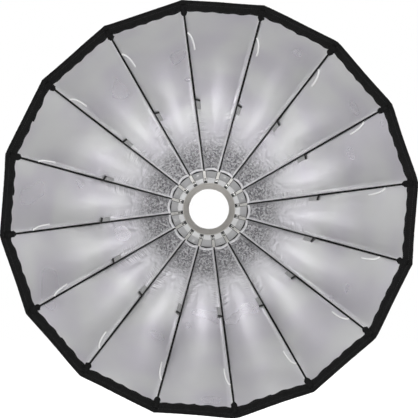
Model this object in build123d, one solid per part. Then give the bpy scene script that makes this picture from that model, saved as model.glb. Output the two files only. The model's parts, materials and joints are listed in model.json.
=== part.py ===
from build123d import *
import os
from math import atan2, cos, degrees, hypot, radians, sin, sqrt, tan

# A deep octabox: sixteen sprung rods on a quick-folding hub carry a parabolic
# bowl of silver fabric, and a bayonet collar takes the studio lamp behind it.
# Built with the mouth towards local +Z, in millimetres. Each sub-part is turned
# at the end so that the mouth faces -Y and +Z is up. Local z = 0 is the face
# that seats on the lamp.

# Bowl
rib_count = 16
mouth_radius = 450.0
bowl_depth = 450.0
first_rib_angle = 15.2
fabric_thickness = 1.5
fabric_root_inset = 1.0          # the fabric starts this far outside the rods' roots
lip_width = 16.0
lip_gap = 0.4
seam_gap = 0.6

# Rods
rod_radius = 1.75
rod_fabric_clearance = 0.6
rod_tip_inset = 12.0             # from the tip back to the mouth's edge
rod_stub = 17.0

# Clips that hold the rods, and their pivot pins
pivot_inset = 12.0               # outside the bearing
pivot_lift = 8.0                 # in front of the flange
clip_reach = 24.0                # along the hub's radius, from pivot to rod root
clip_width = 7.0
clip_height = 7.0
clip_chamfer = 0.8
clip_slot_width = 3.0
clip_slot_length = 7.0
slot_clearance = 0.5
pin_radius = 1.5
pin_hold = 3.5                   # length held in the hub at each end
pin_hole_relief = 0.5
pin_clearance = 0.05
pin_press_gap = 0.02

# Lamp collar, its seat and its bearing
bore_radius = 49.0
collar_wall = 2.5
collar_length = 13.0
lug_count = 3
lug_height = 4.5
lug_thickness = 3.0
lug_arc = 40.0
bearing_wall = 11.0
bearing_clearance = 0.1
seat_width = 8.0
seat_thickness = 5.0
face_clearance = 0.4
retainer_width = 4.5
retainer_thickness = 3.0
retainer_rise = 6.5
retainer_edge_width = 1.5
retainer_bore_relief = 0.6

# Hub housing
neck_wall = 16.0
neck_length = 15.0
body_step = 1.5
body_length = 11.0
flange_width = 18.0
flange_thickness = 4.0
front_plate_thickness = 2.0
front_plate_chamfer = 0.8

# Rear clamp, its screws, and the fabric boot behind the bowl's root
clamp_inset = 4.0                # from the neck to the clamp's bore
clamp_thickness = 2.0
boot_thickness = 1.2
boot_inset = 8.0                 # from the neck to the boot's inner edge
boot_overlap = 7.0               # past the rods' roots
boot_fabric_gap = 1.5
gores_per_screw = 2
screw_inset = 12.0               # from the neck to the screws' circle
screw_radius = 1.5
screw_head_radius = 2.8
screw_head_height = 1.8
screw_socket_radius = 1.1
screw_socket_depth = 0.9

# Clip springs
spring_width = 5.0
spring_thickness = 0.6
spring_foot_inset = 4.0          # from the neck
spring_heel_inset = 4.5          # from the rods' roots
spring_clip_gap = 0.5

# Brake that locks the collar
brake_angle = 94.0
pad_radius = 4.0
pad_length = 5.0
pad_gap = 0.15
brake_travel = 1.5
brake_screw_radius = 3.0
guide_clearance = 0.1
knob_radius = 10.0
knob_length = 14.0
knob_stand_off = 4.0             # outside the flange
knob_chamfer = 0.8
knob_grips = 12
knob_grip_radius = 1.6

# Worked out from the sizes above: radii from the bore outwards
bearing_radius = bore_radius + bearing_wall
retainer_radius = bearing_radius + retainer_width
counterbore_radius = retainer_radius + face_clearance
seat_radius = bearing_radius + seat_width
pivot_radius = bearing_radius + pivot_inset
neck_radius = bearing_radius + neck_wall
body_radius = neck_radius + body_step
clamp_inner_radius = neck_radius + clamp_inset
boot_inner_radius = neck_radius + boot_inset
screw_circle_radius = neck_radius + screw_inset
flange_radius = neck_radius + flange_width
rib_root_radius = pivot_radius + clip_reach
boot_outer_radius = rib_root_radius + boot_overlap
fabric_root_radius = rib_root_radius + fabric_root_inset
lip_inner_radius = mouth_radius - lip_width
rod_tip_radius = mouth_radius - rod_tip_inset
spring_inner_radius = neck_radius + spring_foot_inset
spring_outer_radius = rib_root_radius - spring_heel_inset

# Heights from the lamp's seat forwards
housing_back_z = seat_thickness + face_clearance
flange_z = seat_thickness + neck_length
flange_front_z = flange_z + flange_thickness
shoulder_z = flange_z + retainer_thickness
housing_front_z = flange_z + body_length
boot_back_z = flange_z - boot_thickness
clamp_back_z = boot_back_z - clamp_thickness
pivot_z = flange_z + pivot_lift

# The bowl's curve, and how the rods leave the hub
focus = mouth_radius**2 / (4 * bowl_depth)
root_slope = rib_root_radius / (2 * focus)
vertex_z = pivot_z + clip_reach * root_slope - rib_root_radius**2 / (4 * focus)
clip_tilt = degrees(atan2(root_slope, 1))
fabric_shift = rod_radius + rod_fabric_clearance
gore_half_angle = 180.0 / rib_count
gore_cosine = cos(radians(gore_half_angle))
rib_angles = [first_rib_angle + 2 * gore_half_angle * k for k in range(rib_count)]
screw_angles = [angle + gore_half_angle for angle in rib_angles[::gores_per_screw]]

# The brake's line, from the bearing outwards
brake_z = (seat_thickness + flange_z) / 2
pad_start = bearing_radius + bearing_clearance + pad_gap
pad_end = pad_start + pad_length
knob_start_radius = flange_radius + knob_stand_off
knob_end_radius = knob_start_radius + knob_length
brake_screw_end = knob_start_radius + knob_length / 2


def bowl_z(radius):
    """Height of the rods' centre line at a distance from the axis."""
    return vertex_z + radius**2 / (4 * focus)


def parabola(start, end, shift=0.0, scale=1.0):
    """The rod line from one radius to another, moved outwards at 45 degrees."""
    middle = (scale * (start + end) / 2, vertex_z + start * end / (4 * focus))
    points = [(scale * start, bowl_z(start)), middle, (scale * end, bowl_z(end))]
    step = shift / sqrt(2)
    return [(r + step, z - step) for r, z in points]


def at_angle(shape, angle):
    """Turn a shape built in the local XZ plane to an angle clockwise from the top."""
    return Rot(Z=90 - angle) * shape


def disc(radius, bottom, top):
    """A flat disc between two heights."""
    body = Cylinder(radius, top - bottom, align=(Align.CENTER, Align.CENTER, Align.MIN))
    return Pos(0, 0, bottom) * body


def ring(outer, inner, bottom, top):
    """A flat ring between two heights."""
    return disc(outer, bottom, top) - disc(inner, bottom, top)


def radial_cylinder(radius, start, end, height):
    """A cylinder along local +X, from one distance to another."""
    return Pos((start + end) / 2, 0, height) * Rot(Y=90) * Cylinder(radius, end - start)


def side_plate(points, width):
    """A plate of the given width whose outline lies in the local XZ plane."""
    outline = make_face(Polyline(*[(x, 0, z) for x, z in points], close=True))
    return extrude(outline, width / 2, both=True)


def turned_ring(points):
    """A ring whose section is drawn in the local XZ plane."""
    section = make_face(Polyline(*[(x, 0, z) for x, z in points], close=True))
    return revolve(section, Axis.Z, 360)


def pivot_frame():
    """The pivot, with local X along the clip and local Z away from the hub."""
    return Pos(pivot_radius, 0, pivot_z) * Rot(Y=-clip_tilt)


def pivot_cylinder(radius, length):
    """A cylinder on the pivot's own axis."""
    return Pos(pivot_radius, 0, pivot_z) * Rot(X=90) * Cylinder(radius, length)


def rib_rod():
    """One rod: a straight stub in the clip, then the parabola, with a rounded tip."""
    stub_run = rod_stub / hypot(1, root_slope)
    root = (rib_root_radius, 0, bowl_z(rib_root_radius))
    foot = (root[0] - stub_run, 0, root[2] - stub_run * root_slope)
    curve = parabola(rib_root_radius, rod_tip_radius)
    stub = Line(foot, root)
    bow = Bezier(*[(r, 0, z) for r, z in curve])
    section = Plane(origin=foot, z_dir=stub % 0) * Circle(rod_radius)
    rod = sweep(section, path=Wire([stub, bow]))
    tip = Pos(curve[-1][0], 0, curve[-1][1]) * Sphere(rod_radius)
    return rod + tip


def rib_clip():
    """The folded steel clip: two ears on the pivot and a socket for the rod."""
    half = clip_height / 2
    length = hypot(clip_reach, clip_reach * root_slope)
    bar = Pos(length / 2, 0, 0) * Box(length, clip_width, clip_height)
    bar = chamfer(bar.faces().sort_by(Axis.X)[-1].edges(), clip_chamfer)
    bar = bar + Rot(X=90) * Cylinder(half, clip_width)
    bar = bar - Rot(X=90) * Cylinder(pin_radius + pin_clearance, 2 * clip_width)
    gap_length = half + clip_slot_length
    bar = bar - Pos(gap_length / 2 - half, 0, 0) * Box(gap_length, clip_slot_width, 2 * clip_height)
    socket = Pos(length, 0, 0) * Rot(Y=90) * Cylinder(rod_radius, 2 * rod_stub)
    return pivot_frame() * (bar - socket)


def clip_slot():
    """The space that a clip needs from open to folded."""
    reach = clip_height / 2 + slot_clearance
    tilt = radians(clip_tilt)
    floor_x = pivot_radius + reach * sin(tilt)
    floor_z = pivot_z - reach * cos(tilt)
    out = 2 * flange_radius
    up = floor_z + (out - floor_x) * root_slope
    inner = pivot_radius - reach
    outline = [(inner, 2 * up), (inner, pivot_z), (floor_x, floor_z), (out, up), (out, 2 * up)]
    width = clip_width + 2 * slot_clearance
    return side_plate(outline, width) + pivot_cylinder(reach, width)


def gore():
    """One panel between two rods, and its dark lip band, as two closed solids."""
    reach = mouth_radius * tan(radians(gore_half_angle)) + fabric_shift
    wedge_start = seam_gap / 2 / sin(radians(gore_half_angle))
    far = 2 * mouth_radius
    side = (far - wedge_start) * tan(radians(gore_half_angle))
    wedge_face = make_face(Polyline((wedge_start, 0), (far, side), (far, -side), close=True))
    wedge = extrude(wedge_face, bowl_z(mouth_radius) + bowl_depth)
    spans = [
        (fabric_root_radius, lip_inner_radius - lip_gap),
        (lip_inner_radius, mouth_radius),
    ]
    pieces = []
    for start, end in spans:
        inner = parabola(start, end, fabric_shift, gore_cosine)
        outer = parabola(start, end, fabric_shift + fabric_thickness, gore_cosine)
        inner = [(x, 0, z) for x, z in inner]
        outer = [(x, 0, z) for x, z in outer]
        edges = [Bezier(*inner), Line(inner[-1], outer[-1]), Bezier(*outer), Line(inner[0], outer[0])]
        strip = extrude(make_face(edges), reach, both=True)
        pieces.append((strip & wedge).solid())
    return Compound(pieces)


def screw_holes(bottom, top):
    """The holes for the rear screws, as one set of cylinders to cut away."""
    hole = Pos(screw_circle_radius, 0, 0) * disc(screw_radius, bottom, top)
    return [at_angle(hole, angle) for angle in screw_angles]


def hub_housing():
    """The cast hub: neck, flange, and a slot for each clip."""
    body = disc(neck_radius, housing_back_z, flange_z)
    body = body + disc(body_radius, flange_z, housing_front_z)
    body = body + disc(flange_radius, flange_z, flange_front_z)
    body = body - disc(bearing_radius + bearing_clearance, 0, flange_z)
    body = body - disc(counterbore_radius, flange_z, housing_front_z)
    pin_hole_length = clip_width + 2 * (pin_hold + pin_hole_relief)
    for angle in rib_angles:
        body = body - at_angle(clip_slot(), angle)
        body = body - at_angle(pivot_cylinder(pin_radius + pin_press_gap, pin_hole_length), angle)
    for hole in screw_holes(0, flange_front_z):
        body = body - hole
    wide = radial_cylinder(pad_radius + guide_clearance, 0, pad_end + brake_travel + pad_gap, brake_z)
    narrow = radial_cylinder(brake_screw_radius + guide_clearance, 0, 2 * neck_radius, brake_z)
    return body - at_angle(wide + narrow, brake_angle)


def hub_front_plate():
    """The plate over the hub, slotted for the clips, with a bevelled opening."""
    plate = ring(body_radius, counterbore_radius, housing_front_z, housing_front_z + front_plate_thickness)
    rims = plate.edges().filter_by(GeomType.CIRCLE).group_by(Axis.Z)[-1]
    plate = chamfer(rims, front_plate_chamfer)
    for angle in rib_angles:
        plate = plate - at_angle(clip_slot(), angle)
    return plate


def mount_ring():
    """The bayonet collar, its lugs, the seat and the bearing that turns in the hub."""
    collar_radius = bore_radius + collar_wall
    body = disc(collar_radius, -collar_length, 0)
    body = body + disc(seat_radius, 0, seat_thickness)
    body = body + disc(bearing_radius, seat_thickness, flange_z + face_clearance)
    body = body - disc(bore_radius, -collar_length, shoulder_z)
    lug_ring = ring(collar_radius + lug_height, bore_radius + collar_wall / 2, -collar_length,
                    lug_thickness - collar_length)
    far = 2 * seat_radius
    half = far * tan(radians(lug_arc / 2))
    sector = make_face(Polyline((0, 0), (far, half), (far, -half), close=True))
    lug = lug_ring & Pos(0, 0, -collar_length) * extrude(sector, lug_thickness)
    for k in range(lug_count):
        body = body + Rot(Z=360.0 / lug_count * k) * lug
    return body


def mount_retainer_ring():
    """The dished ring that keeps the collar in the hub and funnels down to the bore."""
    bottom = flange_z + face_clearance
    inner = bore_radius + retainer_bore_relief
    top = bottom + retainer_thickness + retainer_rise
    return turned_ring([
        (inner, bottom),
        (retainer_radius, bottom),
        (retainer_radius, top),
        (retainer_radius - retainer_edge_width, top),
        (inner, bottom + retainer_thickness),
    ])


def fabric_clamp_ring():
    """The ring that clamps the boot against the flange from behind."""
    body = ring(flange_radius, clamp_inner_radius, clamp_back_z, boot_back_z)
    for hole in screw_holes(0, flange_z):
        body = body - hole
    return body


def fabric_boot():
    """The dark cloth skirt from the clamp to just behind the bowl's root."""
    outer_z = bowl_z(boot_outer_radius) - fabric_shift - fabric_thickness - boot_fabric_gap
    bend = flange_radius + boot_thickness
    body = turned_ring([
        (boot_inner_radius, boot_back_z),
        (bend, boot_back_z),
        (boot_outer_radius, outer_z - boot_thickness),
        (boot_outer_radius, outer_z),
        (bend, flange_z + boot_thickness),
        (bend, flange_z),
        (boot_inner_radius, flange_z),
    ])
    for hole in screw_holes(0, flange_front_z):
        body = body - hole
    return body


def hub_screw():
    """One socket-head screw, put in from behind."""
    head_back_z = clamp_back_z - screw_head_height
    shank = disc(screw_radius, clamp_back_z, flange_front_z)
    head = disc(screw_head_radius, head_back_z, clamp_back_z)
    socket = Pos(0, 0, head_back_z) * extrude(RegularPolygon(screw_socket_radius, 6), screw_socket_depth)
    return Pos(screw_circle_radius, 0, 0) * (shank + head - socket)


def clip_spring():
    """One bent leaf on the flange that bears on the clip from below."""
    under = clip_height / 2 / cos(radians(clip_tilt)) + spring_clip_gap
    heel_z = pivot_z + (spring_outer_radius - pivot_radius) * root_slope - under
    tip_x = spring_outer_radius - spring_width
    tip_z = heel_z - spring_width * root_slope
    t = spring_thickness
    outline = [
        (spring_inner_radius, flange_front_z),
        (spring_outer_radius, flange_front_z),
        (spring_outer_radius, heel_z),
        (tip_x, tip_z),
        (tip_x, tip_z - t),
        (spring_outer_radius - t, heel_z - t - t * root_slope),
        (spring_outer_radius - t, flange_front_z + t),
        (spring_inner_radius, flange_front_z + t),
    ]
    return side_plate(outline, spring_width)


def lock_knob():
    """The grip of the brake screw, with scallops round its edge."""
    body = radial_cylinder(knob_radius, knob_start_radius, knob_end_radius, brake_z)
    body = chamfer(body.edges().filter_by(GeomType.CIRCLE), knob_chamfer)
    groove = radial_cylinder(knob_grip_radius, knob_start_radius, knob_end_radius, brake_z)
    for k in range(knob_grips):
        turn = radians(360.0 / knob_grips * k)
        body = body - Pos(0, knob_radius * cos(turn), knob_radius * sin(turn)) * groove
    return body - radial_cylinder(brake_screw_radius, 0, brake_screw_end, brake_z)


def write(name, shape):
    """Turn a finished shape so that the mouth faces -Y, and write it."""
    turned = [Rot(X=90) * solid for solid in shape.solids()]
    export_step(Compound(turned), "parts/" + name + ".step")


def copies(shape, angles):
    """The same solid at several angles, as separate solids."""
    placed = [at_angle(shape, angle) for angle in angles]
    return Compound([piece.solid() for piece in placed])


os.makedirs("parts", exist_ok=True)

rod = rib_rod()
clip = rib_clip()
panel = gore()
for index, angle in enumerate(rib_angles):
    tag = "_%02d" % (index + 1)
    write("rib_rod" + tag, at_angle(rod, angle))
    write("rib_clip" + tag, at_angle(clip, angle))
    write("gore" + tag, at_angle(panel, angle + gore_half_angle))

pin_length = clip_width + 2 * pin_hold
write("hub_housing", hub_housing())
write("hub_front_plate", hub_front_plate())
write("mount_ring", mount_ring())
write("mount_retainer_ring", mount_retainer_ring())
write("fabric_clamp_ring", fabric_clamp_ring())
write("fabric_boot", fabric_boot())
write("hub_screws", copies(hub_screw(), screw_angles))
write("rib_pivot_pins", copies(pivot_cylinder(pin_radius, pin_length), rib_angles))
write("clip_springs", copies(clip_spring(), rib_angles))
write("brake_pad", at_angle(radial_cylinder(pad_radius, pad_start, pad_end, brake_z), brake_angle))
shank = radial_cylinder(brake_screw_radius, pad_end, brake_screw_end, brake_z)
write("lock_screw", at_angle(shank, brake_angle))
write("lock_knob", at_angle(lock_knob(), brake_angle))
print("vertex z", round(vertex_z, 3), "clip tilt", round(clip_tilt, 3))
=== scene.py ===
import json
from math import atan2, ceil, cos, exp, hypot, pi, sin

import bpy
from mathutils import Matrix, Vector, noise


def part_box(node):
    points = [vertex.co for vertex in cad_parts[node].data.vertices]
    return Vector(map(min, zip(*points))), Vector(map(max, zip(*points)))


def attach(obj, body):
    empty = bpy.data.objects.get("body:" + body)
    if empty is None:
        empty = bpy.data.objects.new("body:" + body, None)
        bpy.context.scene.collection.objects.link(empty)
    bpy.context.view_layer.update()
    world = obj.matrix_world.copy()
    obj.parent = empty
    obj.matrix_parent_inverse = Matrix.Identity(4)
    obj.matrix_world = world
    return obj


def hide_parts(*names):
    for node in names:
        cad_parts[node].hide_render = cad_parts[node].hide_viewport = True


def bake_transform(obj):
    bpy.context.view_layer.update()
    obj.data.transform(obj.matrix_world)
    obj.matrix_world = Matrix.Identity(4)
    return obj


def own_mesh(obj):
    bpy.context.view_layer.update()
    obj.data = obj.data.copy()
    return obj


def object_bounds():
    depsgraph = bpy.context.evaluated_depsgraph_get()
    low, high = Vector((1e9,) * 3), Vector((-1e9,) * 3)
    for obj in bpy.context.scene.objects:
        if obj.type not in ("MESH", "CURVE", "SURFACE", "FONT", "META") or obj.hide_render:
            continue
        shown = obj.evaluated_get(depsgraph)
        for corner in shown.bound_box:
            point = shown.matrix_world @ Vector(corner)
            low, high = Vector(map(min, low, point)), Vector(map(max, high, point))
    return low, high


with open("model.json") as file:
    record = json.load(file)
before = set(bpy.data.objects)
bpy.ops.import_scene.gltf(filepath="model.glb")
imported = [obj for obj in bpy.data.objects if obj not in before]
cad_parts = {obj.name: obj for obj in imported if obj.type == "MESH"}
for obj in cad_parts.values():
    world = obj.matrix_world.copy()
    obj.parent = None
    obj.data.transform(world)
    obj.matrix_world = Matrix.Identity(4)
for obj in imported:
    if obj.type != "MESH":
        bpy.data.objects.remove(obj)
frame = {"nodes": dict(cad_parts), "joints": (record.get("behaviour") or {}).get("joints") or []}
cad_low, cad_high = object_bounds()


# ---------------------------------------------------------------- camera
# It stands on the bowl's axis in front of the mouth and looks straight in.
# The field is as wide as the mouth from corner to corner.
mouth_y = cad_low.y
camera_distance = 2.85
field_half_width = 0.4497
sensor_width = 36.0

camera_data = bpy.data.cameras.new("camera")
camera_data.sensor_width = sensor_width
camera_data.lens = sensor_width * camera_distance / (2 * field_half_width)
camera = bpy.data.objects.new("camera", camera_data)
bpy.context.scene.collection.objects.link(camera)
camera.location = (0, mouth_y - camera_distance, 0)
camera.rotation_euler = (pi / 2, 0, 0)
bpy.context.scene.camera = camera


# ---------------------------------------------------------------- studio
# A pale sweep of floor under the hanging box, and soft light from big sources:
# one near the camera that fills the bowl, and one high at each side.
floor_z = cad_low.z - 0.16
floor_reach = 14.0
floor_shown = (1.0, 3.2)         # it fades out between these distances
view = bpy.context.scene.view_settings
view.view_transform = "Standard"
view.look = "None"


class Shade:
    """A shader value that takes part in sums, as a number does."""

    def __init__(self, finish, socket):
        self.finish = finish
        self.socket = socket

    def sum(self, operation, first, second):
        return self.finish.node("ShaderNodeMath", {"operation": operation}, {0: first, 1: second})

    def __add__(self, other):
        return self.sum("ADD", self, other)

    def __sub__(self, other):
        return self.sum("SUBTRACT", self, other)

    def __rsub__(self, other):
        return self.sum("SUBTRACT", other, self)

    def __mul__(self, other):
        return self.sum("MULTIPLY", self, other)

    def __pow__(self, other):
        return self.sum("POWER", self, other)


class Finish:
    """The surface of one material of the octabox, built node by node."""

    def __init__(self, name):
        self.material = bpy.data.materials.new(name)
        self.material.use_nodes = True
        self.tree = self.material.node_tree
        self.tree.nodes.clear()

    def node(self, kind, settings=None, sockets=None, output=0):
        made = self.tree.nodes.new(kind)
        for name, value in (settings or {}).items():
            setattr(made, name, value)
        for key, value in (sockets or {}).items():
            if isinstance(value, Shade):
                self.tree.links.new(value.socket, made.inputs[key])
            else:
                made.inputs[key].default_value = value
        return None if output is None else Shade(self, made.outputs[output])

    def place(self, kind="Object"):
        return self.node("ShaderNodeTexCoord", output=kind)

    def part(self, place, axis):
        return self.node("ShaderNodeSeparateXYZ", {}, {0: place}, axis)

    def from_axis(self, place):
        """How far a point lies from the lamp's axis."""
        across = self.part(place, "X")
        upward = self.part(place, "Z")
        return (across * across + upward * upward) ** 0.5

    def grain(self, place, scale, detail=2.0, roughness=0.5):
        sockets = {"Vector": place, "Scale": scale, "Detail": detail, "Roughness": roughness}
        return self.node("ShaderNodeTexNoise", {}, sockets, "Fac")

    def limits(self, value, low, high, out_low=0.0, out_high=1.0):
        sockets = {"Value": value, "From Min": low, "From Max": high, "To Min": out_low, "To Max": out_high}
        return self.node("ShaderNodeMapRange", {"interpolation_type": "SMOOTHSTEP"}, sockets)

    def blend(self, share, first, second):
        settings = {"data_type": "RGBA"}
        return self.node("ShaderNodeMix", settings, {0: share, 6: first, 7: second}, 2)

    def bump(self, height, strength, distance, under=None):
        sockets = {"Height": height, "Strength": strength, "Distance": distance}
        if under is not None:
            sockets["Normal"] = under
        return self.node("ShaderNodeBump", {}, sockets)

    def surface(self, **values):
        sockets = {name.replace("_", " "): value for name, value in values.items()}
        shader = self.node("ShaderNodeBsdfPrincipled", {}, sockets)
        self.node("ShaderNodeOutputMaterial", {}, {"Surface": shader}, None)
        return self.material


def grey(level, blue=0.0):
    return (level, level, level + blue, 1.0)


def plain_floor():
    """A wide, even floor; its far edge is lost in the pale surround."""
    mesh = bpy.data.meshes.new("floor")
    r = floor_reach
    corners = [(-r, -r, floor_z), (r, -r, floor_z), (r, r, floor_z), (-r, r, floor_z)]
    mesh.from_pydata(corners, [], [(0, 1, 2, 3)])
    floor = bpy.data.objects.new("floor", mesh)
    bpy.context.scene.collection.objects.link(floor)
    paint = Finish("floor_paint")
    place = paint.place()
    tone = paint.blend(paint.grain(place, 1.4), grey(0.93), grey(0.95))
    away = paint.node("ShaderNodeVectorMath", {"operation": "LENGTH"}, {0: place}, "Value")
    shown = paint.limits(away, *floor_shown, 1.0, 0.0)
    mesh.materials.append(paint.surface(Base_Color=tone, Roughness=0.8, Alpha=shown))


def soft_light(name, place, aim, size, power):
    """A round soft source that the camera doesn't see."""
    lamp = bpy.data.lights.new(name, "AREA")
    lamp.shape = "DISK"
    lamp.size = size
    lamp.energy = power
    made = bpy.data.objects.new(name, lamp)
    made.location = place
    made.rotation_euler = (Vector(aim) - Vector(place)).to_track_quat("-Z", "Y").to_euler()
    made.visible_camera = False
    bpy.context.scene.collection.objects.link(made)


def pale_surround(seen, ahead, around):
    """A white surround to the eye. It gives less light straight ahead of the mouth than to the sides."""
    world = bpy.data.worlds.new("surround")
    world.use_nodes = True
    bpy.context.scene.world = world
    tree = world.node_tree
    back = tree.nodes["Background"]
    back.inputs["Color"].default_value = grey(1.0)
    heading = tree.nodes.new("ShaderNodeTexCoord")
    split = tree.nodes.new("ShaderNodeSeparateXYZ")
    given = tree.nodes.new("ShaderNodeMapRange")
    given.interpolation_type = "SMOOTHSTEP"
    span = {"From Min": -1.0, "From Max": -0.35, "To Min": ahead, "To Max": around}
    for name, value in span.items():
        given.inputs[name].default_value = value
    path = tree.nodes.new("ShaderNodeLightPath")
    level = tree.nodes.new("ShaderNodeMapRange")
    level.inputs["To Max"].default_value = seen
    tree.links.new(heading.outputs["Generated"], split.inputs[0])
    tree.links.new(split.outputs["Y"], given.inputs["Value"])
    tree.links.new(given.outputs[0], level.inputs["To Min"])
    tree.links.new(path.outputs["Is Camera Ray"], level.inputs["Value"])
    tree.links.new(level.outputs[0], back.inputs["Strength"])


plain_floor()
pale_surround(seen=1.0, ahead=0.15, around=1.25)
soft_light("front", (0.0, -1.95, 0.0), (0, -0.1, 0), 0.31, 6.7)
soft_light("left", (-2.6, -0.2, 2.4), (0, 0, 0), 1.6, 40)
soft_light("right", (2.8, 1.2, 2.2), (0, 0, 0), 1.6, 40)


# ---------------------------------------------------------------- bowl panels
# Silver-coated cloth outside the rods, black on its back, cut in sixteen gores
# and sewn at the rods. Each piece here is the cloth on both sides of one rod,
# out to the middle of the gores beside it, so that it folds with that rod.
rods = 16
focus = 0.1125                   # of the parabola that the rods follow
vertex_depth = 0.01776           # its vertex, in front of the lamp seat
half_gore = pi / rods
seam_offsets = (0.0012, 0.0035, 0.0062, 0.0085)
seam_columns = 3                 # of these, how many carry the folded allowance
seam_step = 0.0007               # how thick the folded allowance is
rod_radius = 0.00175
rod_rest = 0.0006                # between the rod and the cloth
lining_lift = rod_radius + rod_rest
cloth_thickness = 0.0011
root_radius = 0.0965
root_scallop = 0.005             # the hem draws back between two rods
panel_bow = 0.0045               # the cloth pulls in between two rods

joints = {joint["name"]: joint for joint in frame["joints"]}
rod_names = ["%02d" % (k + 1) for k in range(rods)]
rod_angles = []
for tag in rod_names:
    pivot = joints["rib_fold_" + tag]["pos_m"]
    rod_angles.append(atan2(pivot[0], pivot[2]))
# Each seam's allowance is folded to the side of its rod that lies up and to the left, 1 being clockwise.
# Its paler colour there is partly a painted highlight, on the side of each rib where the light falls.
highlight_right, highlight_up = 0.83, 0.55
seam_lays = [1 if highlight_right * sin(angle) + highlight_up * cos(angle) < 0 else -1 for angle in rod_angles]


def depth(radius):
    """How far the rods' line stands in front of the lamp seat."""
    return vertex_depth + radius * radius / (4 * focus)


def outward(radius):
    """The rods' outward normal, as (away from the axis, towards the mouth)."""
    slope = radius / (2 * focus)
    size = hypot(1, slope)
    return slope / size, -1 / size


def bowl_point(angle, radius, side, lift=0.0):
    """A point on the cloth by one rod. Side runs from -1 to 1 between the two mid-gore
    lines, and lift goes outwards, away from the bowl's inside."""
    away, along = outward(radius)
    r = radius + lift * away
    d = depth(radius) + lift * along
    way = 1 if side >= 0 else -1
    run = side * r * sin(half_gore)
    x = r * sin(angle) + run * cos(angle + way * half_gore)
    z = r * cos(angle) - run * sin(angle + way * half_gore)
    return Vector((x, -d, z))


def fade(value, low, high):
    """0 below low, 1 above high, and an even turn between them."""
    t = min(max((value - low) / (high - low), 0), 1)
    return t * t * (3 - 2 * t)


def creases(place, radius, side, lay):
    """How far the cloth stands in from its smooth shape: crumples near the hub, puckers
    along the seams, slack in the open cloth, the bow between rods and the allowance."""
    from_seam = abs(side) * radius * sin(half_gore)
    near_hub = 1 - fade(radius, 0.13, 0.25)
    foil = noise.noise(place * 120) + 0.6 * noise.noise(place * 230 + Vector((3, 1, 7)))
    ridge = 1 - abs(noise.noise(place * 75 + Vector((9, 4, 2)))) * 2
    crumple = (0.0011 * foil + 0.0008 * ridge) * near_hub
    pucker = noise.noise(Vector((radius * 230, side * 1.5, 5.0 + place.x)))
    pucker *= 0.0015 * exp(-from_seam / 0.009) * (1 - 0.8 * fade(radius, 0.28, 0.40))
    slack = 0.0020 * noise.noise(place * 9 + Vector((1, 8, 3))) * fade(radius, 0.12, 0.3)
    bow = panel_bow * (1 - (1 - abs(side)) ** 2) * sin(pi * fade(radius, 0.08, 0.47))
    folded = seam_step * (1 - fade(from_seam, *seam_offsets[-2:])) if side * lay > 0 else 0.0
    pinned = fade(from_seam, 0.0, 0.012)
    return bow + (crumple + slack) * pinned + pucker * fade(from_seam, 0.0, 0.002) + folded


def edge_radius(side):
    """The root hem's place, scalloped between the rods."""
    return root_radius + root_scallop * sin(0.5 * pi * abs(side))


def row_radii(first, last, fine_until, fine, coarse):
    """Radii of the rows of a panel, close together near the hub."""
    radii = [first]
    while radii[-1] < last:
        step = fine if radii[-1] < fine_until else coarse
        radii.append(radii[-1] + step / hypot(1, radii[-1] / (2 * focus)))
    scale = (last - first) / (radii[-1] - first)
    return [first + (r - first) * scale for r in radii]


def add_piece(name, points, faces, materials, which=None, uvs=None):
    """A smooth object at the origin; which gives each face its material."""
    mesh = bpy.data.meshes.new(name)
    mesh.from_pydata([tuple(point) for point in points], [], faces)
    for material in materials:
        mesh.materials.append(material)
    if which is not None:
        mesh.polygons.foreach_set("material_index", which)
    if uvs is not None:
        layer = mesh.uv_layers.new(name="cloth")
        for loop in mesh.loops:
            layer.data[loop.index].uv = uvs[loop.vertex_index]
    mesh.polygons.foreach_set("use_smooth", [True] * len(mesh.polygons))
    made = bpy.data.objects.new(name, mesh)
    bpy.context.scene.collection.objects.link(made)
    return made


def crisp(piece, rims):
    """Keeps the shading of a face and of its wall apart along these edges."""
    rims = {frozenset(rim) for rim in rims}
    for edge in piece.data.edges:
        edge.use_edge_sharp = frozenset(edge.vertices) in rims


def cloth_shell(name, rows, inner, outer, uvs, materials):
    """A closed sheet from two grids of points: inner towards the axis, outer behind it."""
    count = len(inner) // rows
    base = len(inner)
    faces, which = [], []
    for i in range(rows - 1):
        for j in range(count - 1):
            a, b = i * count + j, i * count + j + 1
            c, d = a + count, b + count
            faces.append((a, b, d, c))
            which.append(0)
            faces.append((base + a, base + c, base + d, base + b))
            which.append(1)
    border = list(range(count))
    border += [i * count + count - 1 for i in range(1, rows)]
    border += [(rows - 1) * count + j for j in range(count - 2, -1, -1)]
    border += [i * count for i in range(rows - 2, 0, -1)]
    rims = []
    for a, b in zip(border, border[1:] + border[:1]):
        faces.append((b, a, base + a, base + b))
        which.append(1)
        rims += [(a, b), (base + a, base + b)]
    made = add_piece(name, inner + outer, faces, materials, which, uvs=uvs + uvs)
    crisp(made, rims)
    return made


def fold_with_rod(piece, index):
    """The piece goes with its rod."""
    tag = rod_names[index]
    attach(piece, "rib_" + tag)
    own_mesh(piece)


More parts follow.
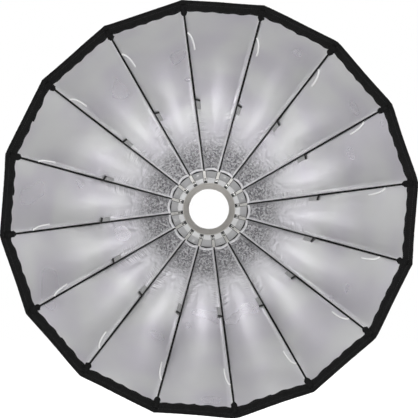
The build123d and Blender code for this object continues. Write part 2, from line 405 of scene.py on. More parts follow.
def silver_cloth():
    """Silver coating on a fine plain weave: soft gleam, crinkled like foil round the hub. Round the hub the
    colour is painted darker, with painted light and dark facets, as the shade and glints of the crumpled
    foil.
    """
    cloth = Finish("silver_cloth")
    place = cloth.place()
    radius = cloth.from_axis(place)
    mottle = cloth.grain(place, 9.0, 1.0)
    weave_place = cloth.place("UV")
    from_seam = cloth.part(weave_place, "X")
    from_seam = (from_seam * from_seam) ** 0.5
    near_hub = 1.0 - cloth.limits(radius, 0.14, 0.26)
    off_seam = cloth.limits(from_seam, 0.002, 0.013, 0.3, 1.0)
    open_cloth = (1.0 - cloth.limits(radius, 0.13, 0.19)) * off_seam
    foil = cloth.grain(place, 195.0, 3.0, 0.75)
    # Short puckers run out from the needle holes, so their grain is drawn across the seam.
    drawn = cloth.node(
        "ShaderNodeVectorMath", {"operation": "MULTIPLY"}, {0: weave_place, 1: (0.14, 1.0, 1.0)}, "Vector")
    puckers = cloth.grain(drawn, 260.0, 1.0)
    at_seam = 1.0 - cloth.limits(from_seam, 0.010, 0.026)
    ticks = (puckers * at_seam) * (1.0 - cloth.limits(radius, 0.20, 0.30))
    cool, warm = (0.685, 0.67, 0.71, 1), (0.76, 0.765, 0.76, 1)
    smooth_tone = cloth.blend(cloth.limits(mottle, 0.3, 0.7), cool, warm)
    # Painted light and shade: round the hub the tone is flecked with lit and shaded facets of the crumpled
    # foil.
    shaded_facet, lit_facet = (0.27, 0.265, 0.28, 1), (0.80, 0.795, 0.815, 1)
    painted_foil_facets = cloth.blend(cloth.limits(foil, 0.42, 0.58), shaded_facet, lit_facet)
    # Painted shade: towards the hub the tone turns a darker grey, with the flecks nearest the hub and away
    # from the seams.
    painted_hub_shade_tone = cloth.blend(open_cloth, (0.53, 0.525, 0.545, 1), painted_foil_facets)
    tone = cloth.blend(near_hub, smooth_tone, painted_hub_shade_tone)
    thread = cloth.bump(cloth.grain(weave_place, 1100.0, 1.0), 0.05, 0.0002)
    crumple = cloth.bump(foil * open_cloth + ticks * 0.3, 1.0, 0.0050, thread)
    gleam = cloth.limits(mottle, 0.2, 0.8, 0.27, 0.32)
    return cloth.surface(Base_Color=tone, Metallic=0.80, Roughness=gleam, Normal=crumple)


def silver_seam_and_highlight():
    """The cloth where it is folded over, at seams and hems: the same coating, paler and duller. On the
    seams the paler colour is partly a painted highlight, on the lit side of each rib.
    """
    cloth = Finish("silver_seam_and_highlight")
    grain = cloth.grain(cloth.place(), 220.0, 2.0)
    tone = cloth.blend(grain, (0.80, 0.795, 0.81, 1), (0.93, 0.925, 0.94, 1))
    rumple = cloth.bump(grain, 0.4, 0.0008)
    return cloth.surface(Base_Color=tone, Metallic=0.75, Roughness=0.5, Normal=rumple)


def black_nylon():
    """The black back of the cloth: close weave, a little sheen."""
    cloth = Finish("black_nylon")
    weave = cloth.grain(cloth.place("UV"), 900.0, 1.0)
    mottle = cloth.grain(cloth.place(), 18.0, 3.0)
    tone = cloth.blend(mottle, grey(0.010), grey(0.022, 0.001))
    thread = cloth.bump(weave, 0.4, 0.0003)
    ripple = cloth.bump(mottle, 0.2, 0.004, thread)
    gleam = cloth.limits(mottle, 0.2, 0.8, 0.55, 0.72)
    return cloth.surface(
        Base_Color=tone, Roughness=gleam, Normal=ripple, Sheen_Weight=0.12, Sheen_Roughness=0.4)


silver = silver_cloth()
allowance_and_highlight = silver_seam_and_highlight()
nylon = black_nylon()
lining_end = 0.4472
open_columns = 11                # across the cloth from the allowance to mid-gore
fine_until = 0.19                # out to here the rows are close together
fine_row, coarse_row = 0.0026, 0.0062
cloth_stretch = 1.3              # of the weave's pattern along the rod


def cloth_columns(radius):
    """Where the columns of a panel stand, from -1 to 1. They are close together at the seam."""
    width = radius * sin(half_gore)
    near = [offset / width for offset in seam_offsets]
    half = near + [near[-1] + (1 - near[-1]) * (j + 1) / open_columns for j in range(open_columns)]
    return [-side for side in reversed(half)] + [0.0] + half


def bowl_panel(index):
    """One panel, shut all round: silver inside, black behind, the allowance beside the rod."""
    angle = rod_angles[index]
    lay = seam_lays[index]
    radii = row_radii(root_radius, lining_end, fine_until, fine_row, coarse_row)
    shares = [(r - root_radius) / (lining_end - root_radius) for r in radii]
    inner, outer, uvs = [], [], []
    for share in shares:
        sides = cloth_columns(root_radius + (lining_end - root_radius) * share)
        for side in sides:
            start = edge_radius(side)
            radius = start + (lining_end - start) * share
            smooth = bowl_point(angle, radius, side, lining_lift)
            lift = lining_lift - creases(smooth, radius, side, lay)
            inner.append(bowl_point(angle, radius, side, lift))
            outer.append(bowl_point(angle, radius, side, lift + cloth_thickness))
            uvs.append((side * radius * sin(half_gore), radius * cloth_stretch))
    name = "bowl_panel_" + rod_names[index]
    panel = cloth_shell(name, len(shares), inner, outer, uvs, [silver, nylon, allowance_and_highlight])
    # The allowance's paler cloth goes on the rod's lit side: partly a painted highlight.
    middle = len(seam_offsets) + open_columns
    first = middle if lay > 0 else middle - seam_columns
    quads = len(sides) - 1
    for row in range(len(shares) - 1):
        for column in range(first, first + seam_columns):
            panel.data.polygons[2 * (row * quads + column)].material_index = 2
    fold_with_rod(panel, index)
    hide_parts("gore_" + rod_names[index])


for index in range(rods):
    bowl_panel(index)


# ---------------------------------------------------------------- root hems
# The cloth is turned over twice at its root and sewn, so a bright rolled edge
# runs in a shallow arc from rod to rod.
hem_radius = 0.0036
hem_flat = 0.5                   # its height as a share of its width
hem_inset = 0.0009               # how far it stands into the bowl from the silver face
hem_steps = 12                   # on each side of a rod
hem_sides = 10


def arc_tube(path, radius, sides, flat=1.0, up=None):
    """Points and faces of a closed tube along a path; flat thins it across the up direction."""
    points, faces = [], []
    count = len(path)
    for i, place in enumerate(path):
        ahead = (path[min(i + 1, count - 1)] - path[max(i - 1, 0)]).normalized()
        top = up[i] if up else Vector((0, 1, 0))
        side = ahead.cross(top).normalized()
        top = side.cross(ahead).normalized()
        for j in range(sides):
            turn = 2 * pi * j / sides
            points.append(place + side * radius * cos(turn) + top * radius * flat * sin(turn))
    for i in range(count - 1):
        for j in range(sides):
            a, b = i * sides + j, i * sides + (j + 1) % sides
            faces.append((a, a + sides, b + sides, b))
    faces.append(tuple(range(sides)))
    faces.append(tuple(reversed(range((count - 1) * sides, count * sides))))
    return points, faces


def root_hem(index):
    """The rolled edge at the root of one panel."""
    angle = rod_angles[index]
    path, ups = [], []
    for j in range(-hem_steps, hem_steps + 1):
        side = j / hem_steps
        radius = edge_radius(side)
        smooth = bowl_point(angle, radius, side, lining_lift)
        inwards = creases(smooth, radius, side, seam_lays[index])
        path.append(bowl_point(angle, radius, side, lining_lift - inwards - hem_inset))
        ups.append(bowl_point(angle, radius, side, 0.0) - bowl_point(angle, radius, side, 0.01))
    points, faces = arc_tube(path, hem_radius, hem_sides, hem_flat, ups)
    hem = add_piece("root_hem_" + rod_names[index], points, faces, [allowance_and_highlight])
    fold_with_rod(hem, index)


for index in range(rods):
    root_hem(index)


# ---------------------------------------------------------------- mouth band
# A strip of black loop tape is folded round the mouth's edge and sewn down:
# the front diffuser's hook tape grips it. Its face is a fine fuzz.
band_start = 0.4342
band_edge = 0.4495
band_thickness = 0.0016
band_columns = 24                # on each side of a rod
band_rows = 8                    # across the tape, on its face and on its back
edge_steps = 6                   # round the mouth's edge
edge_round = 0.22                # how far the edge stands out, as a share of the full thickness
tuck = 0.0004                    # how far the tape's inner rim is turned in


def loop_tape():
    """Black loop tape: a dense fuzz of tiny loops, a little greyer where they catch the light."""
    tape = Finish("loop_tape")
    place = tape.place()
    fuzz = tape.grain(place, 900.0, 3.0, 0.7)
    tufts = tape.grain(place, 240.0, 2.0)
    # Painted highlight: the fuzz is greyer in random patches, for the light its loops catch.
    painted_fuzz_glint = tape.limits(fuzz * 0.6 + tufts * 0.4, 0.45, 0.70)
    tone = tape.blend(painted_fuzz_glint, grey(0.0030), grey(0.014, 0.0005))
    loops = tape.bump(fuzz + tufts, 0.9, 0.0012)
    return tape.surface(Base_Color=tone, Roughness=0.95, Normal=loops, Specular_IOR_Level=0.2)


tape_black = loop_tape()


def band_section():
    """The tape's section, as (radius, lift): up the inside, round the edge and down the back."""
    full = cloth_thickness + 2 * band_thickness
    step = (band_edge - band_start) / band_rows
    front = [(band_start + step * i, -band_thickness) for i in range(band_rows + 1)]
    middle = 0.5 * cloth_thickness
    turns = [pi * i / edge_steps for i in range(1, edge_steps)]
    edge = [(band_edge + edge_round * full * sin(t), middle - 0.5 * full * cos(t)) for t in turns]
    back = [(radius, full - band_thickness) for radius, _ in reversed(front)]
    inside = [(band_start + tuck, full - band_thickness - full * share) for share in (0.25, 0.5, 0.75)]
    return front + edge + back + inside


def mouth_band(index):
    """The folded tape over one panel's edge; its inner rim wanders a little, as sewn tape does."""
    angle = rod_angles[index]
    sides = [j / band_columns for j in range(-band_columns, band_columns + 1)]
    section = band_section()
    points = []
    for radius, lift in section:
        for side in sides:
            wave = 0.0014 * noise.noise(Vector((index * 3.0 + side * 2.5, 4.0, 1.0)))
            wave += 0.0008 * sin(pi * side * 5 + index)
            r = radius + wave * (1 - fade(radius, band_start, band_start + 0.01))
            smooth = bowl_point(angle, min(r, lining_end), side, lining_lift)
            inwards = creases(smooth, min(r, lining_end), side, 0)
            fluff = 0.0004 * noise.noise(smooth * 400)
            points.append(bowl_point(angle, r, side, lining_lift - inwards + lift + fluff))
    count = len(sides)
    total = len(section) * count
    faces = []
    for i in range(len(section)):
        for j in range(count - 1):
            a, b = i * count + j, i * count + j + 1
            faces.append((a, b, (b + count) % total, (a + count) % total))
    faces.append(tuple(i * count for i in range(len(section))))
    faces.append(tuple(i * count + count - 1 for i in reversed(range(len(section)))))
    band = add_piece("mouth_band_" + rod_names[index], points, faces, [tape_black])
    crisp(band, [pair for end in faces[-2:] for pair in zip(end, end[1:] + end[:1])])
    fold_with_rod(band, index)


for index in range(rods):
    mouth_band(index)


# ---------------------------------------------------------------- rod sleeves
# From mid-length outwards each rod runs in a narrow black sleeve sewn into the
# seam. Inside of that the rod is bare.
sleeve_start = 0.262
sleeve_end = 0.4335
sleeve_radius = 0.0020
sleeve_step = 0.006
sleeve_sides = 12


def binding_tape():
    """Matt black binding tape with fine ribs along it."""
    tape = Finish("binding_tape")
    ribs = tape.grain(tape.place(), 700.0, 2.0)
    tone = tape.blend(ribs, grey(0.0025), grey(0.010))
    ribbed = tape.bump(ribs, 0.6, 0.0005)
    return tape.surface(Base_Color=tone, Roughness=0.85, Normal=ribbed, Specular_IOR_Level=0.25)


binding = binding_tape()


def along_rod(index, start, end, step, lift=0.0):
    """Points along a rod between two radii."""
    count = max(2, ceil((end - start) / step))
    radii = [start + (end - start) * i / count for i in range(count + 1)]
    return [bowl_point(rod_angles[index], radius, 0.0, lift) for radius in radii]


def rod_sleeve(index):
    path = along_rod(index, sleeve_start, sleeve_end, sleeve_step)
    points, faces = arc_tube(path, sleeve_radius, sleeve_sides)
    sleeve = add_piece("rod_sleeve_" + rod_names[index], points, faces, [binding])
    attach(sleeve, "rib_" + rod_names[index])


for index in range(rods):
    rod_sleeve(index)


# ---------------------------------------------------------------- tip pockets
# The end of each rod sits in a stubby pocket of black webbing, sewn over the
# mouth band. It is the thickest spot of the rim, and a little frayed.
pocket_start = 0.4265
pocket_end = 0.4455
pocket_half_width = 0.0070
pocket_half_height = 0.0034
pocket_step = 0.0016
pocket_sides = 20
pocket_fray = 0.34


def tip_pocket(index):
    """A flattened tube, drawn in at both ends and roughened like frayed webbing."""
    angle = rod_angles[index]
    path = along_rod(index, pocket_start, pocket_end, pocket_step)
    ups = [bowl_point(angle, 0.43, 0, 0.0) - bowl_point(angle, 0.43, 0, 0.01)] * len(path)
    flat = pocket_half_height / pocket_half_width
    points, faces = arc_tube(path, pocket_half_width, pocket_sides, flat, ups)
    last = len(path) - 1
    frayed = []
    for i, place in enumerate(path):
        closed = 0.55 + 0.45 * fade(i, 0, 2) - 0.30 * fade(i, last - 2, last)
        for point in points[i * pocket_sides:(i + 1) * pocket_sides]:
            rough = 1 + pocket_fray * noise.noise(point * 260)
            frayed.append(place + (point - place) * closed * rough)
    pocket = add_piece("tip_pocket_" + rod_names[index], frayed, faces, [tape_black])
    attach(pocket, "rib_" + rod_names[index])


for index in range(rods):
    tip_pocket(index)


# ---------------------------------------------------------------- outer seams
# On the black back of the bowl each seam is covered by a flat binding, sewn
# down on both sides, which also keeps the rod in its place.
binding_half_width = 0.0045
binding_flat = 0.24              # its height as a share of its width
binding_step = 0.009
binding_sides = 10


def outer_binding(index):
    lift = lining_lift + cloth_thickness + binding_half_width * binding_flat * 0.6
    path = along_rod(index, root_radius + 0.004, band_start + 0.002, binding_step, lift)
    ups = []
    for place in path:
        away, along = outward(hypot(place.x, place.z))
        ups.append(Vector((away * sin(rod_angles[index]), -along, away * cos(rod_angles[index]))))
    points, faces = arc_tube(path, binding_half_width, binding_sides, binding_flat, ups)
    cover = add_piece("outer_binding_" + rod_names[index], points, faces, [binding])
    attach(cover, "rib_" + rod_names[index])


for index in range(rods):
    outer_binding(index)


# ---------------------------------------------------------------- diffuser tabs
# Beside each rod, half-way out, a short grey webbing tab is sewn to the seam.
# Its outer end is a moulded black catch that holds an inner diffuser.
tab_start = 0.2395
tab_end = 0.2585
tab_near = 0.0022                # from the seam to the strap's near edge
tab_far = 0.0114
tab_lift = 0.0012                # its middle stands off the cloth
tab_gap = 0.0003
tab_thickness = 0.0011
tab_crown = 0.0003
tab_rows, tab_columns = 6, 4
tab_scatter = 0.005              # no two are sewn at quite the same place
catch_radius = 0.0021
catch_flat = 0.85
catch_length = 0.0118
catch_above = 0.0028


def grey_webbing():
    """Light grey webbing, woven in ribs across the strap."""
    web = Finish("grey_webbing")
    place = web.place("UV")
    ribs = web.node("ShaderNodeTexWave", {"bands_direction": "Y"}, {"Vector": place, "Scale": 260.0})
    cross = web.node("ShaderNodeTexWave", {"bands_direction": "X"}, {"Vector": place, "Scale": 200.0})
    tone = web.blend(ribs, grey(0.30), grey(0.62, 0.005))
    return web.surface(Base_Color=tone, Roughness=0.7, Normal=web.bump(ribs + cross * 0.5, 0.7, 0.0005))


def black_nylon_moulding():
    """Moulded black nylon with a fine spark-eroded grain."""
    moulded = Finish("black_moulding")
    grain = moulded.grain(moulded.place(), 1400.0, 2.0)
    tone = moulded.blend(grain, grey(0.006), grey(0.016))
    gleam = moulded.limits(grain, 0.3, 0.7, 0.42, 0.56)
    return moulded.surface(Base_Color=tone, Roughness=gleam, Normal=moulded.bump(grain, 0.25, 0.0003))


webbing = grey_webbing()
moulding = black_nylon_moulding()


def on_cloth(index, radius, offset, above):
    """A point above the silver face, so far clockwise from the seam."""
    side = offset / (radius * sin(half_gore))
    smooth = bowl_point(rod_angles[index], radius, side, lining_lift)
    inwards = creases(smooth, radius, side, seam_lays[index])
    return bowl_point(rod_angles[index], radius, side, lining_lift - inwards - above)


def strap(name, index, spans, edges, thickness, materials):
    """A closed slab on the cloth. Spans are its radii, each with how far it stands off there,
    and edges are how far its two sides lie from the seam."""
    top, under, uvs = [], [], []
    for radius, above in spans:
        for j in range(tab_columns + 1):
            offset = edges[0] + (edges[1] - edges[0]) * j / tab_columns
            crown = tab_crown * (1 - (2 * j / tab_columns - 1) ** 2)
            top.append(on_cloth(index, radius, offset, above + thickness + crown))
            under.append(on_cloth(index, radius, offset, above))
            uvs.append((offset, radius * 1.5))
    return cloth_shell(name, len(spans), top, under, uvs, materials)


def diffuser_tab(index):
    """A webbing tab by one rod, and the bar of the catch across its outer end."""
    shift = tab_scatter * noise.noise(Vector((index * 2.3, 0.4, 6.0)))
    length = tab_end - tab_start
    spans = []
    for i in range(tab_rows + 1):
        above = tab_gap + tab_lift * sin(pi * i / tab_rows)
        spans.append((tab_start + shift + length * i / tab_rows, above))
    name = "diffuser_tab_" + rod_names[index]
    tab = strap(name, index, spans, (tab_near, tab_far), tab_thickness, [webbing, webbing])
    fold_with_rod(tab, index)
    bar = tab_end + shift + 0.0014
    places = [on_cloth(index, bar - 0.0006 * t, 0.0002 + catch_length * t, catch_above)
              for t in (0, 0.2, 0.4, 0.6, 0.8, 1)]
    points, faces = arc_tube(places, catch_radius, 12, catch_flat)
    catch = add_piece("tab_catch_" + rod_names[index], points, faces, [moulding])
    fold_with_rod(catch, index)


for index in range(rods):
    diffuser_tab(index)


# ---------------------------------------------------------------- elastic ties
# Near the mouth a short length of white elastic is sewn down at both ends on
# one side of each rod: the front diffuser's toggles hook under it.
tie_points = (                   # radius, and how far from the seam
    (0.3960, 0.0024), (0.3935, 0.0062), (0.3880, 0.0094),
    (0.3810, 0.0112), (0.3730, 0.0121), (0.3660, 0.0122))
tie_radius = 0.0020
tie_bow = 0.0015                 # its middle stands off the cloth
tie_spread = 0.5                 # how much the ties differ in their bend


def white_elastic():
    """White braided elastic, slightly grubby."""
    braid = Finish("white_elastic")
    plait = braid.grain(braid.place(), 800.0, 2.0)
    tone = braid.blend(plait, grey(0.84), grey(0.97))
    ridged = braid.bump(plait, 0.6, 0.0005)
    return braid.surface(Base_Color=tone, Roughness=0.6, Normal=ridged, Sheen_Weight=0.2)


elastic = white_elastic()


def elastic_tie(index):
    """A round elastic in a shallow arc, smooth through its sewn points."""
    bent = 1.08 + tie_spread * noise.noise(Vector((index * 1.7, 2.0, 0.5)))
    path = []
    last = len(tie_points) - 1
    for i, (radius, offset) in enumerate(tie_points):
        above = tie_radius * 0.8 + tie_bow * sin(pi * i / last)
        path.append(on_cloth(index, radius, offset * (1 if i == 0 else bent), above))
    smooth_path = []
    for i in range(last):
        before, after = path[max(i - 1, 0)], path[min(i + 2, last)]
        for k in range(4):
            t = k / 4
            a, b = path[i], path[i + 1]
            bend = (2 * before - 5 * a + 4 * b - after) * t * t
            twist = (3 * a - before - 3 * b + after) * t ** 3
            smooth_path.append(0.5 * (2 * a + (b - before) * t + bend + twist))
    smooth_path.append(path[-1])
    points, faces = arc_tube(smooth_path, tie_radius, 10)
    tie = add_piece("elastic_tie_" + rod_names[index], points, faces, [elastic])
    fold_with_rod(tie, index)


for index in range(rods):
    elastic_tie(index)


# ---------------------------------------------------------------- stitching
# Every hem, band and allowance is held by a row of lock stitches. The rows are
# laid by one node tree: it follows a path and sets a short thread at each step.
stitch_pitch = 0.0042
stitch_length = 0.0029
stitch_radius = 0.00028
seam_row = 0.0056                # from the rod to the seam's stitches
hem_row = 0.0042                 # from the root to the hem's
band_row_insets = (0.0022, 0.004)  # from the tape's two edges


def thread_finish(name, dark, light):
    """Twisted polyester thread."""
    yarn = Finish(name)
    twist = yarn.grain(yarn.place(), 1800.0, 1.0)
    return yarn.surface(Base_Color=yarn.blend(twist, dark, light), Roughness=0.55)


grey_thread = thread_finish("grey_thread", grey(0.30), grey(0.42))
black_thread = thread_finish("black_thread", grey(0.02), grey(0.05))


def stitch_tree():
    """Path in, stitches out: points at an even pitch, and a short thread laid along each."""
    tree = bpy.data.node_groups.new("stitch_row", "GeometryNodeTree")
    sockets = {}
    face = tree.interface
    face.new_socket("Path", in_out="INPUT", socket_type="NodeSocketGeometry")
    kinds = {"Pitch": "Float", "Length": "Float", "Radius": "Float", "Thread": "Material"}
    for name, kind in kinds.items():
        made = face.new_socket(name, in_out="INPUT", socket_type="NodeSocket" + kind)
        sockets[name] = made.identifier
    face.new_socket("Stitches", in_out="OUTPUT", socket_type="NodeSocketGeometry")

    def step(kind, links=None, values=None):
        made = tree.nodes.new(kind)
        for key, value in (values or {}).items():
            made.inputs[key].default_value = value
        for key, source in (links or {}).items():
            tree.links.new(source, made.inputs[key])
        return made

    given = step("NodeGroupInput").outputs
    row = step("GeometryNodeMeshToCurve", {"Mesh": given["Path"]})
    spaced = tree.nodes.new("GeometryNodeResampleCurve")
    spaced.mode = "LENGTH"
    tree.links.new(row.outputs["Curve"], spaced.inputs["Curve"])
    tree.links.new(given["Pitch"], spaced.inputs["Length"])
    size = step("ShaderNodeCombineXYZ", {
        "X": given["Radius"], "Y": given["Radius"], "Z": given["Length"]})
    ball = step("GeometryNodeMeshUVSphere", {}, {"Segments": 5, "Rings": 4, "Radius": 1.0})
    half = step("ShaderNodeVectorMath", {0: size.outputs[0]}, {1: (1.0, 1.0, 0.5)})
    half.operation = "MULTIPLY"
    tangent = step("GeometryNodeInputTangent").outputs[0]
    turned = step("FunctionNodeAlignRotationToVector", {"Vector": tangent})
    turned.axis = "Z"
    laid = step("GeometryNodeInstanceOnPoints", {
        "Points": spaced.outputs["Curve"], "Instance": ball.outputs["Mesh"],
        "Rotation": turned.outputs[0], "Scale": half.outputs[0]})
    whole = step("GeometryNodeRealizeInstances", {"Geometry": laid.outputs["Instances"]})
    sewn = step("GeometryNodeSetMaterial", {
        "Geometry": whole.outputs["Geometry"], "Material": given["Thread"]})
    step("NodeGroupOutput", {"Stitches": sewn.outputs["Geometry"]})
    return tree, sockets


stitches, stitch_sockets = stitch_tree()


def sew(name, rows, thread):
    """Stitches along every row of points, as one plain mesh."""
    points, edges = [], []
    for row in rows:
        edges += [(len(points) + i, len(points) + i + 1) for i in range(len(row) - 1)]
        points += [tuple(point) for point in row]
    path = bpy.data.meshes.new(name + "_path")
    path.from_pydata(points, edges, [])
    guide = bpy.data.objects.new(name + "_path", path)
    bpy.context.scene.collection.objects.link(guide)
    laid = guide.modifiers.new("stitches", "NODES")
    laid.node_group = stitches
    values = {"Pitch": stitch_pitch, "Length": stitch_length, "Radius": stitch_radius, "Thread": thread}
    for key, value in values.items():
        laid[stitch_sockets[key]] = value
    ready = guide.evaluated_get(bpy.context.evaluated_depsgraph_get())
    mesh = bpy.data.meshes.new_from_object(ready)
    mesh.name = name
    bpy.data.objects.remove(guide)
    if not mesh.materials:
        mesh.materials.append(thread)
    made = bpy.data.objects.new(name, mesh)
    bpy.context.scene.collection.objects.link(made)
    return made


def across_cloth(index, radius, above, count=24):
    """A row across one panel at a radius, so far above the silver face."""
    reach = 0.985 * radius * sin(half_gore)
    return [on_cloth(index, radius, reach * (2 * j / count - 1), above) for j in range(count + 1)]


def stitching(index):
    """Grey stitches along one seam and its hem, black ones along both edges of its band."""
    tag = rod_names[index]
    seam = []
    count = 60
    for i in range(count + 1):
        radius = root_radius + 0.006 + (band_start - root_radius - 0.008) * i / count
        seam.append(on_cloth(index, radius, seam_lays[index] * seam_row, 0.0001))
    hem = []
    for j in range(-10, 11):
        side = 0.97 * j / 10
        radius = edge_radius(side) + hem_row
        hem.append(on_cloth(index, radius, side * radius * sin(half_gore), 0.0002))
    light = sew("seam_stitches_" + tag, [seam, hem], grey_thread)
    fold_with_rod(light, index)
    radii = (band_start + band_row_insets[0], band_edge - band_row_insets[1])
    rows = [across_cloth(index, radius, band_thickness + 0.0002) for radius in radii]
    dark = sew("band_stitches_" + tag, rows, black_thread)
    fold_with_rod(dark, index)


for index in range(rods):
    stitching(index)


# ---------------------------------------------------------------- root gussets
# A gusset of black cloth backs each panel at its root. It is as wide as the gap
# between two folded rods, so the bowl stays shut at the hub when it is packed.
gusset_end = 0.195
gusset_thickness = 0.0006
gusset_gap = 0.0003              # from the panel's black back
gusset_ease = 1.06               # its width, for a gap of 1
gusset_slope = 0.0004            # it slides out by this much at its outer end
gusset_rows, gusset_columns = 22, 12
first_pivot = joints["rib_fold_01"]["pos_m"]
pivot_radius = hypot(first_pivot[0], first_pivot[2])
fold_angle = 0.7086              # the rods' full fold


def folded_radius(radius):
    """How far from the axis a point of the rods' line stands when the rods are folded."""
    out = radius - pivot_radius
    ahead = depth(radius) - depth(pivot_radius)
    return pivot_radius + hypot(out, ahead) * cos(atan2(ahead, out) + fold_angle)


def root_gusset(index):
    """The gusset on the back of one panel. It goes with its rod and doesn't gather."""
    angle = rod_angles[index]
    tag = rod_names[index]
    inner, outer, uvs = [], [], []
    for i in range(gusset_rows):
        radius = root_radius + (gusset_end - root_radius) * i / (gusset_rows - 1)
        wide = min(0.99, gusset_ease * folded_radius(radius) / radius)
        for j in range(gusset_columns + 1):
            side = wide * (2 * j / gusset_columns - 1)
            place = max(radius, edge_radius(side))
            smooth = bowl_point(angle, place, side, lining_lift)
            lift = lining_lift - creases(smooth, place, side, seam_lays[index])
            lift += cloth_thickness + gusset_gap
            place += gusset_slope * i / gusset_rows
            inner.append(bowl_point(angle, place, side, lift))
            outer.append(bowl_point(angle, place, side, lift + gusset_thickness))
            uvs.append((side * radius * sin(half_gore), radius * cloth_stretch))
    piece = cloth_shell("root_gusset_" + tag, gusset_rows, inner, outer, uvs, [nylon, nylon])
    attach(piece, "rib_" + tag)
    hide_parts("gore_" + tag)


for index in range(rods):
    root_gusset(index)


# ---------------------------------------------------------------- skirt
# A skirt of black cloth closes the back between the hub's clamp ring and the
# bowl's root. It is gathered a little.
skirt_inner = 0.0842
skirt_bend = 0.0948
skirt_outer = 0.1026
skirt_thickness = 0.0009
skirt_flat_rows, skirt_slant_rows = 4, 8
skirt_columns = 16
skirt_gather = 0.0005
skirt_gathers = 96               # round the whole skirt
skirt_clearance = 0.0006         # in front of the clamp


def skirt_rows(boot_low, boot_high):
    """The skirt's section, as (radius, distance in front of the lamp seat)."""
    back = -boot_high.y
    front = -boot_low.y
    flat = back + skirt_clearance
    reach = front - flat - 2 * skirt_clearance
    rows = []
    for i in range(skirt_flat_rows + 1):
        rows.append((skirt_inner + (skirt_bend - skirt_inner) * i / skirt_flat_rows, flat))
    for i in range(1, skirt_slant_rows + 1):
        t = i / skirt_slant_rows
        rows.append((skirt_bend + (skirt_outer - skirt_bend) * t, flat + reach * t))
    return rows


def skirt(index, rows):
    """One sixteenth of the skirt: a flat part round the hub and a slanted part out to the bowl's root."""
    angle = rod_angles[index]
    inner, outer, uvs = [], [], []
    for i, (radius, ahead) in enumerate(rows):
        loose = fade(i, skirt_flat_rows, skirt_flat_rows + 5)
        for j in range(skirt_columns + 1):
            turn = angle + half_gore * (2 * j / skirt_columns - 1)
            gather = skirt_gather * sin(turn * skirt_gathers) * loose
            for points, step in ((inner, 0.0), (outer, skirt_thickness)):
                r = radius + gather + step * loose
                points.append(Vector((r * sin(turn), -(ahead - step * (1 - loose)), r * cos(turn))))
            uvs.append((radius * turn, ahead + radius))
    name = "skirt_" + rod_names[index]
    piece = cloth_shell(name, len(rows), inner, outer, uvs, [nylon, nylon])
    way = Vector((sin(angle), 0, cos(angle)))
    start = way * skirt_bend + Vector((0, -rows[skirt_flat_rows][1], 0))
    end = way * skirt_outer + Vector((0, -rows[-1][1], 0))
    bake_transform(piece)
    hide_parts("fabric_boot")


boot_low, boot_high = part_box("fabric_boot")
section = skirt_rows(Vector(boot_low), Vector(boot_high))
for index in range(rods):
    skirt(index, section)


# ---------------------------------------------------------------- hub metalwork
# The hub is cast and painted, its front plate is bright, the clips are folded
# steel, and the collar and its retainer are turned aluminium.
# The hub's paint is black in a channel round each rod's clip, at its front only: painted shade for the gap
# between clip and hub. The next three sizes bound it.
shade_edge = (0.0040, 0.0050)  # from a rod's middle line
shade_start = (0.064, 0.0655)  # from the axis
shade_back = (-0.0238, -0.0228)  # behind this the paint is whole


def painted_casting(name, dark, light, roughness, shaded_slots=False):
    """Powder paint: an even orange-peel skin, a little darker where hands have rubbed it.
    With the slots flag, the channel each rod folds in is painted black at the front: painted shade round
    each clip."""
    paint = Finish(name)
    place = paint.place()
    peel = paint.grain(place, 900.0, 2.0)
    rubbed = paint.grain(place, 45.0, 3.0)
    gleam = paint.limits(rubbed, 0.3, 0.7, roughness - 0.05, roughness + 0.08)
    tone = paint.blend(rubbed, dark, light)
    if shaded_slots:
        # Painted shade: black in the channel round each rod's clip.
        radius = paint.from_axis(place)
        places = {0: paint.part(place, "X"), 1: paint.part(place, "Z")}
        turn = paint.node("ShaderNodeMath", {"operation": "ARCTAN2"}, places)
        spans = {0: turn - rod_angles[0], 1: half_gore}
        from_rod = paint.node("ShaderNodeMath", {"operation": "PINGPONG"}, spans)
        painted_channel_shade = 1.0 - paint.limits(from_rod * radius, *shade_edge)
        painted_channel_shade = painted_channel_shade * paint.limits(radius, *shade_start)
        painted_channel_shade = painted_channel_shade * (1.0 - paint.limits(paint.part(place, "Y"), *shade_back))
        tone = paint.blend(painted_channel_shade, tone, grey(0.012))
    return paint.surface(Base_Color=tone, Roughness=gleam, Normal=paint.bump(peel, 0.2, 0.0003))


def turned_metal(name, dark, light, roughness, pitch):
    """Metal from the lathe: fine rings round the lamp's axis."""
    metal = Finish(name)
    place = metal.place()
    sockets = {"W": metal.from_axis(place), "Scale": 1 / pitch, "Detail": 2.0}
    rings = metal.node("ShaderNodeTexNoise", {"noise_dimensions": "1D"}, sockets)
    stain = metal.grain(place, 60.0, 3.0)
    tone = metal.blend(metal.limits(rings * 0.7 + stain * 0.3, 0.35, 0.65), dark, light)
    gleam = metal.limits(stain, 0.3, 0.7, roughness - 0.05, roughness + 0.07)
    turned = metal.bump(rings, 0.35, 0.0003)
    return metal.surface(Base_Color=tone, Metallic=0.85, Roughness=gleam, Normal=turned)


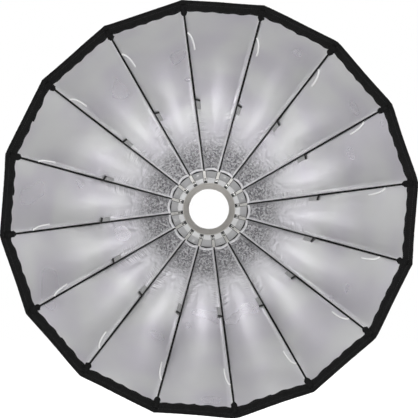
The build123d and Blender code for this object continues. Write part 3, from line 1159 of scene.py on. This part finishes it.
def worked_steel(name, dark, light, roughness, metallic=0.9, scale=500.0):
    """Pressed or drawn steel with faint scratches and handling marks."""
    steel = Finish(name)
    place = steel.place()
    scratch = steel.grain(place, scale, 3.0, 0.7)
    stain = steel.grain(place, 90.0, 2.0)
    tone = steel.blend(steel.limits(scratch * 0.5 + stain * 0.5, 0.38, 0.62), dark, light)
    gleam = steel.limits(scratch, 0.3, 0.7, roughness - 0.06, roughness + 0.08)
    scratched = steel.bump(scratch, 0.25, 0.0002)
    return steel.surface(Base_Color=tone, Metallic=metallic, Roughness=gleam, Normal=scratched)


rod_finish = worked_steel("rod_black_coat", grey(0.004), grey(0.012), 0.38, 0.0, 900.0)
clip_finish = worked_steel("clip_steel", (0.60, 0.59, 0.56, 1), (0.82, 0.81, 0.78, 1), 0.36)
retainer_tones = (0.40, 0.385, 0.36, 1), (0.55, 0.53, 0.50, 1)
finishes = {
    "hub_housing": painted_casting("hub_grey_paint", grey(0.58, 0.01), grey(0.68, 0.01), 0.45, True),
    "hub_front_plate": painted_casting("plate_light_paint", grey(0.66), grey(0.76), 0.34, True),
    "mount_ring": turned_metal("collar_aluminium", grey(0.45), grey(0.62), 0.34, 0.0006),
    "mount_retainer_ring": turned_metal("retainer_warm", *retainer_tones, 0.5, 0.0011),
    "fabric_clamp_ring": painted_casting("clamp_black_paint", grey(0.012), grey(0.028), 0.45),
    "hub_screws": worked_steel("screw_zinc_head", grey(0.30), grey(0.44), 0.35, 1.0),
    "rib_pivot_pins": worked_steel("pin_steel", grey(0.70), grey(0.88), 0.22, 1.0),
    "clip_springs": worked_steel("spring_steel", grey(0.36), grey(0.52), 0.30, 1.0),
    "brake_pad": painted_casting("pad_nylon", grey(0.62), grey(0.72), 0.55),
    "lock_screw": worked_steel("screw_zinc", grey(0.50), grey(0.66), 0.3, 1.0),
    "lock_knob": moulding,
}
for tag in rod_names:
    finishes["rib_rod_" + tag] = rod_finish
    finishes["rib_clip_" + tag] = clip_finish
for name, material in finishes.items():
    for carried in frame["nodes"][name].material_slots:
        carried.material = material
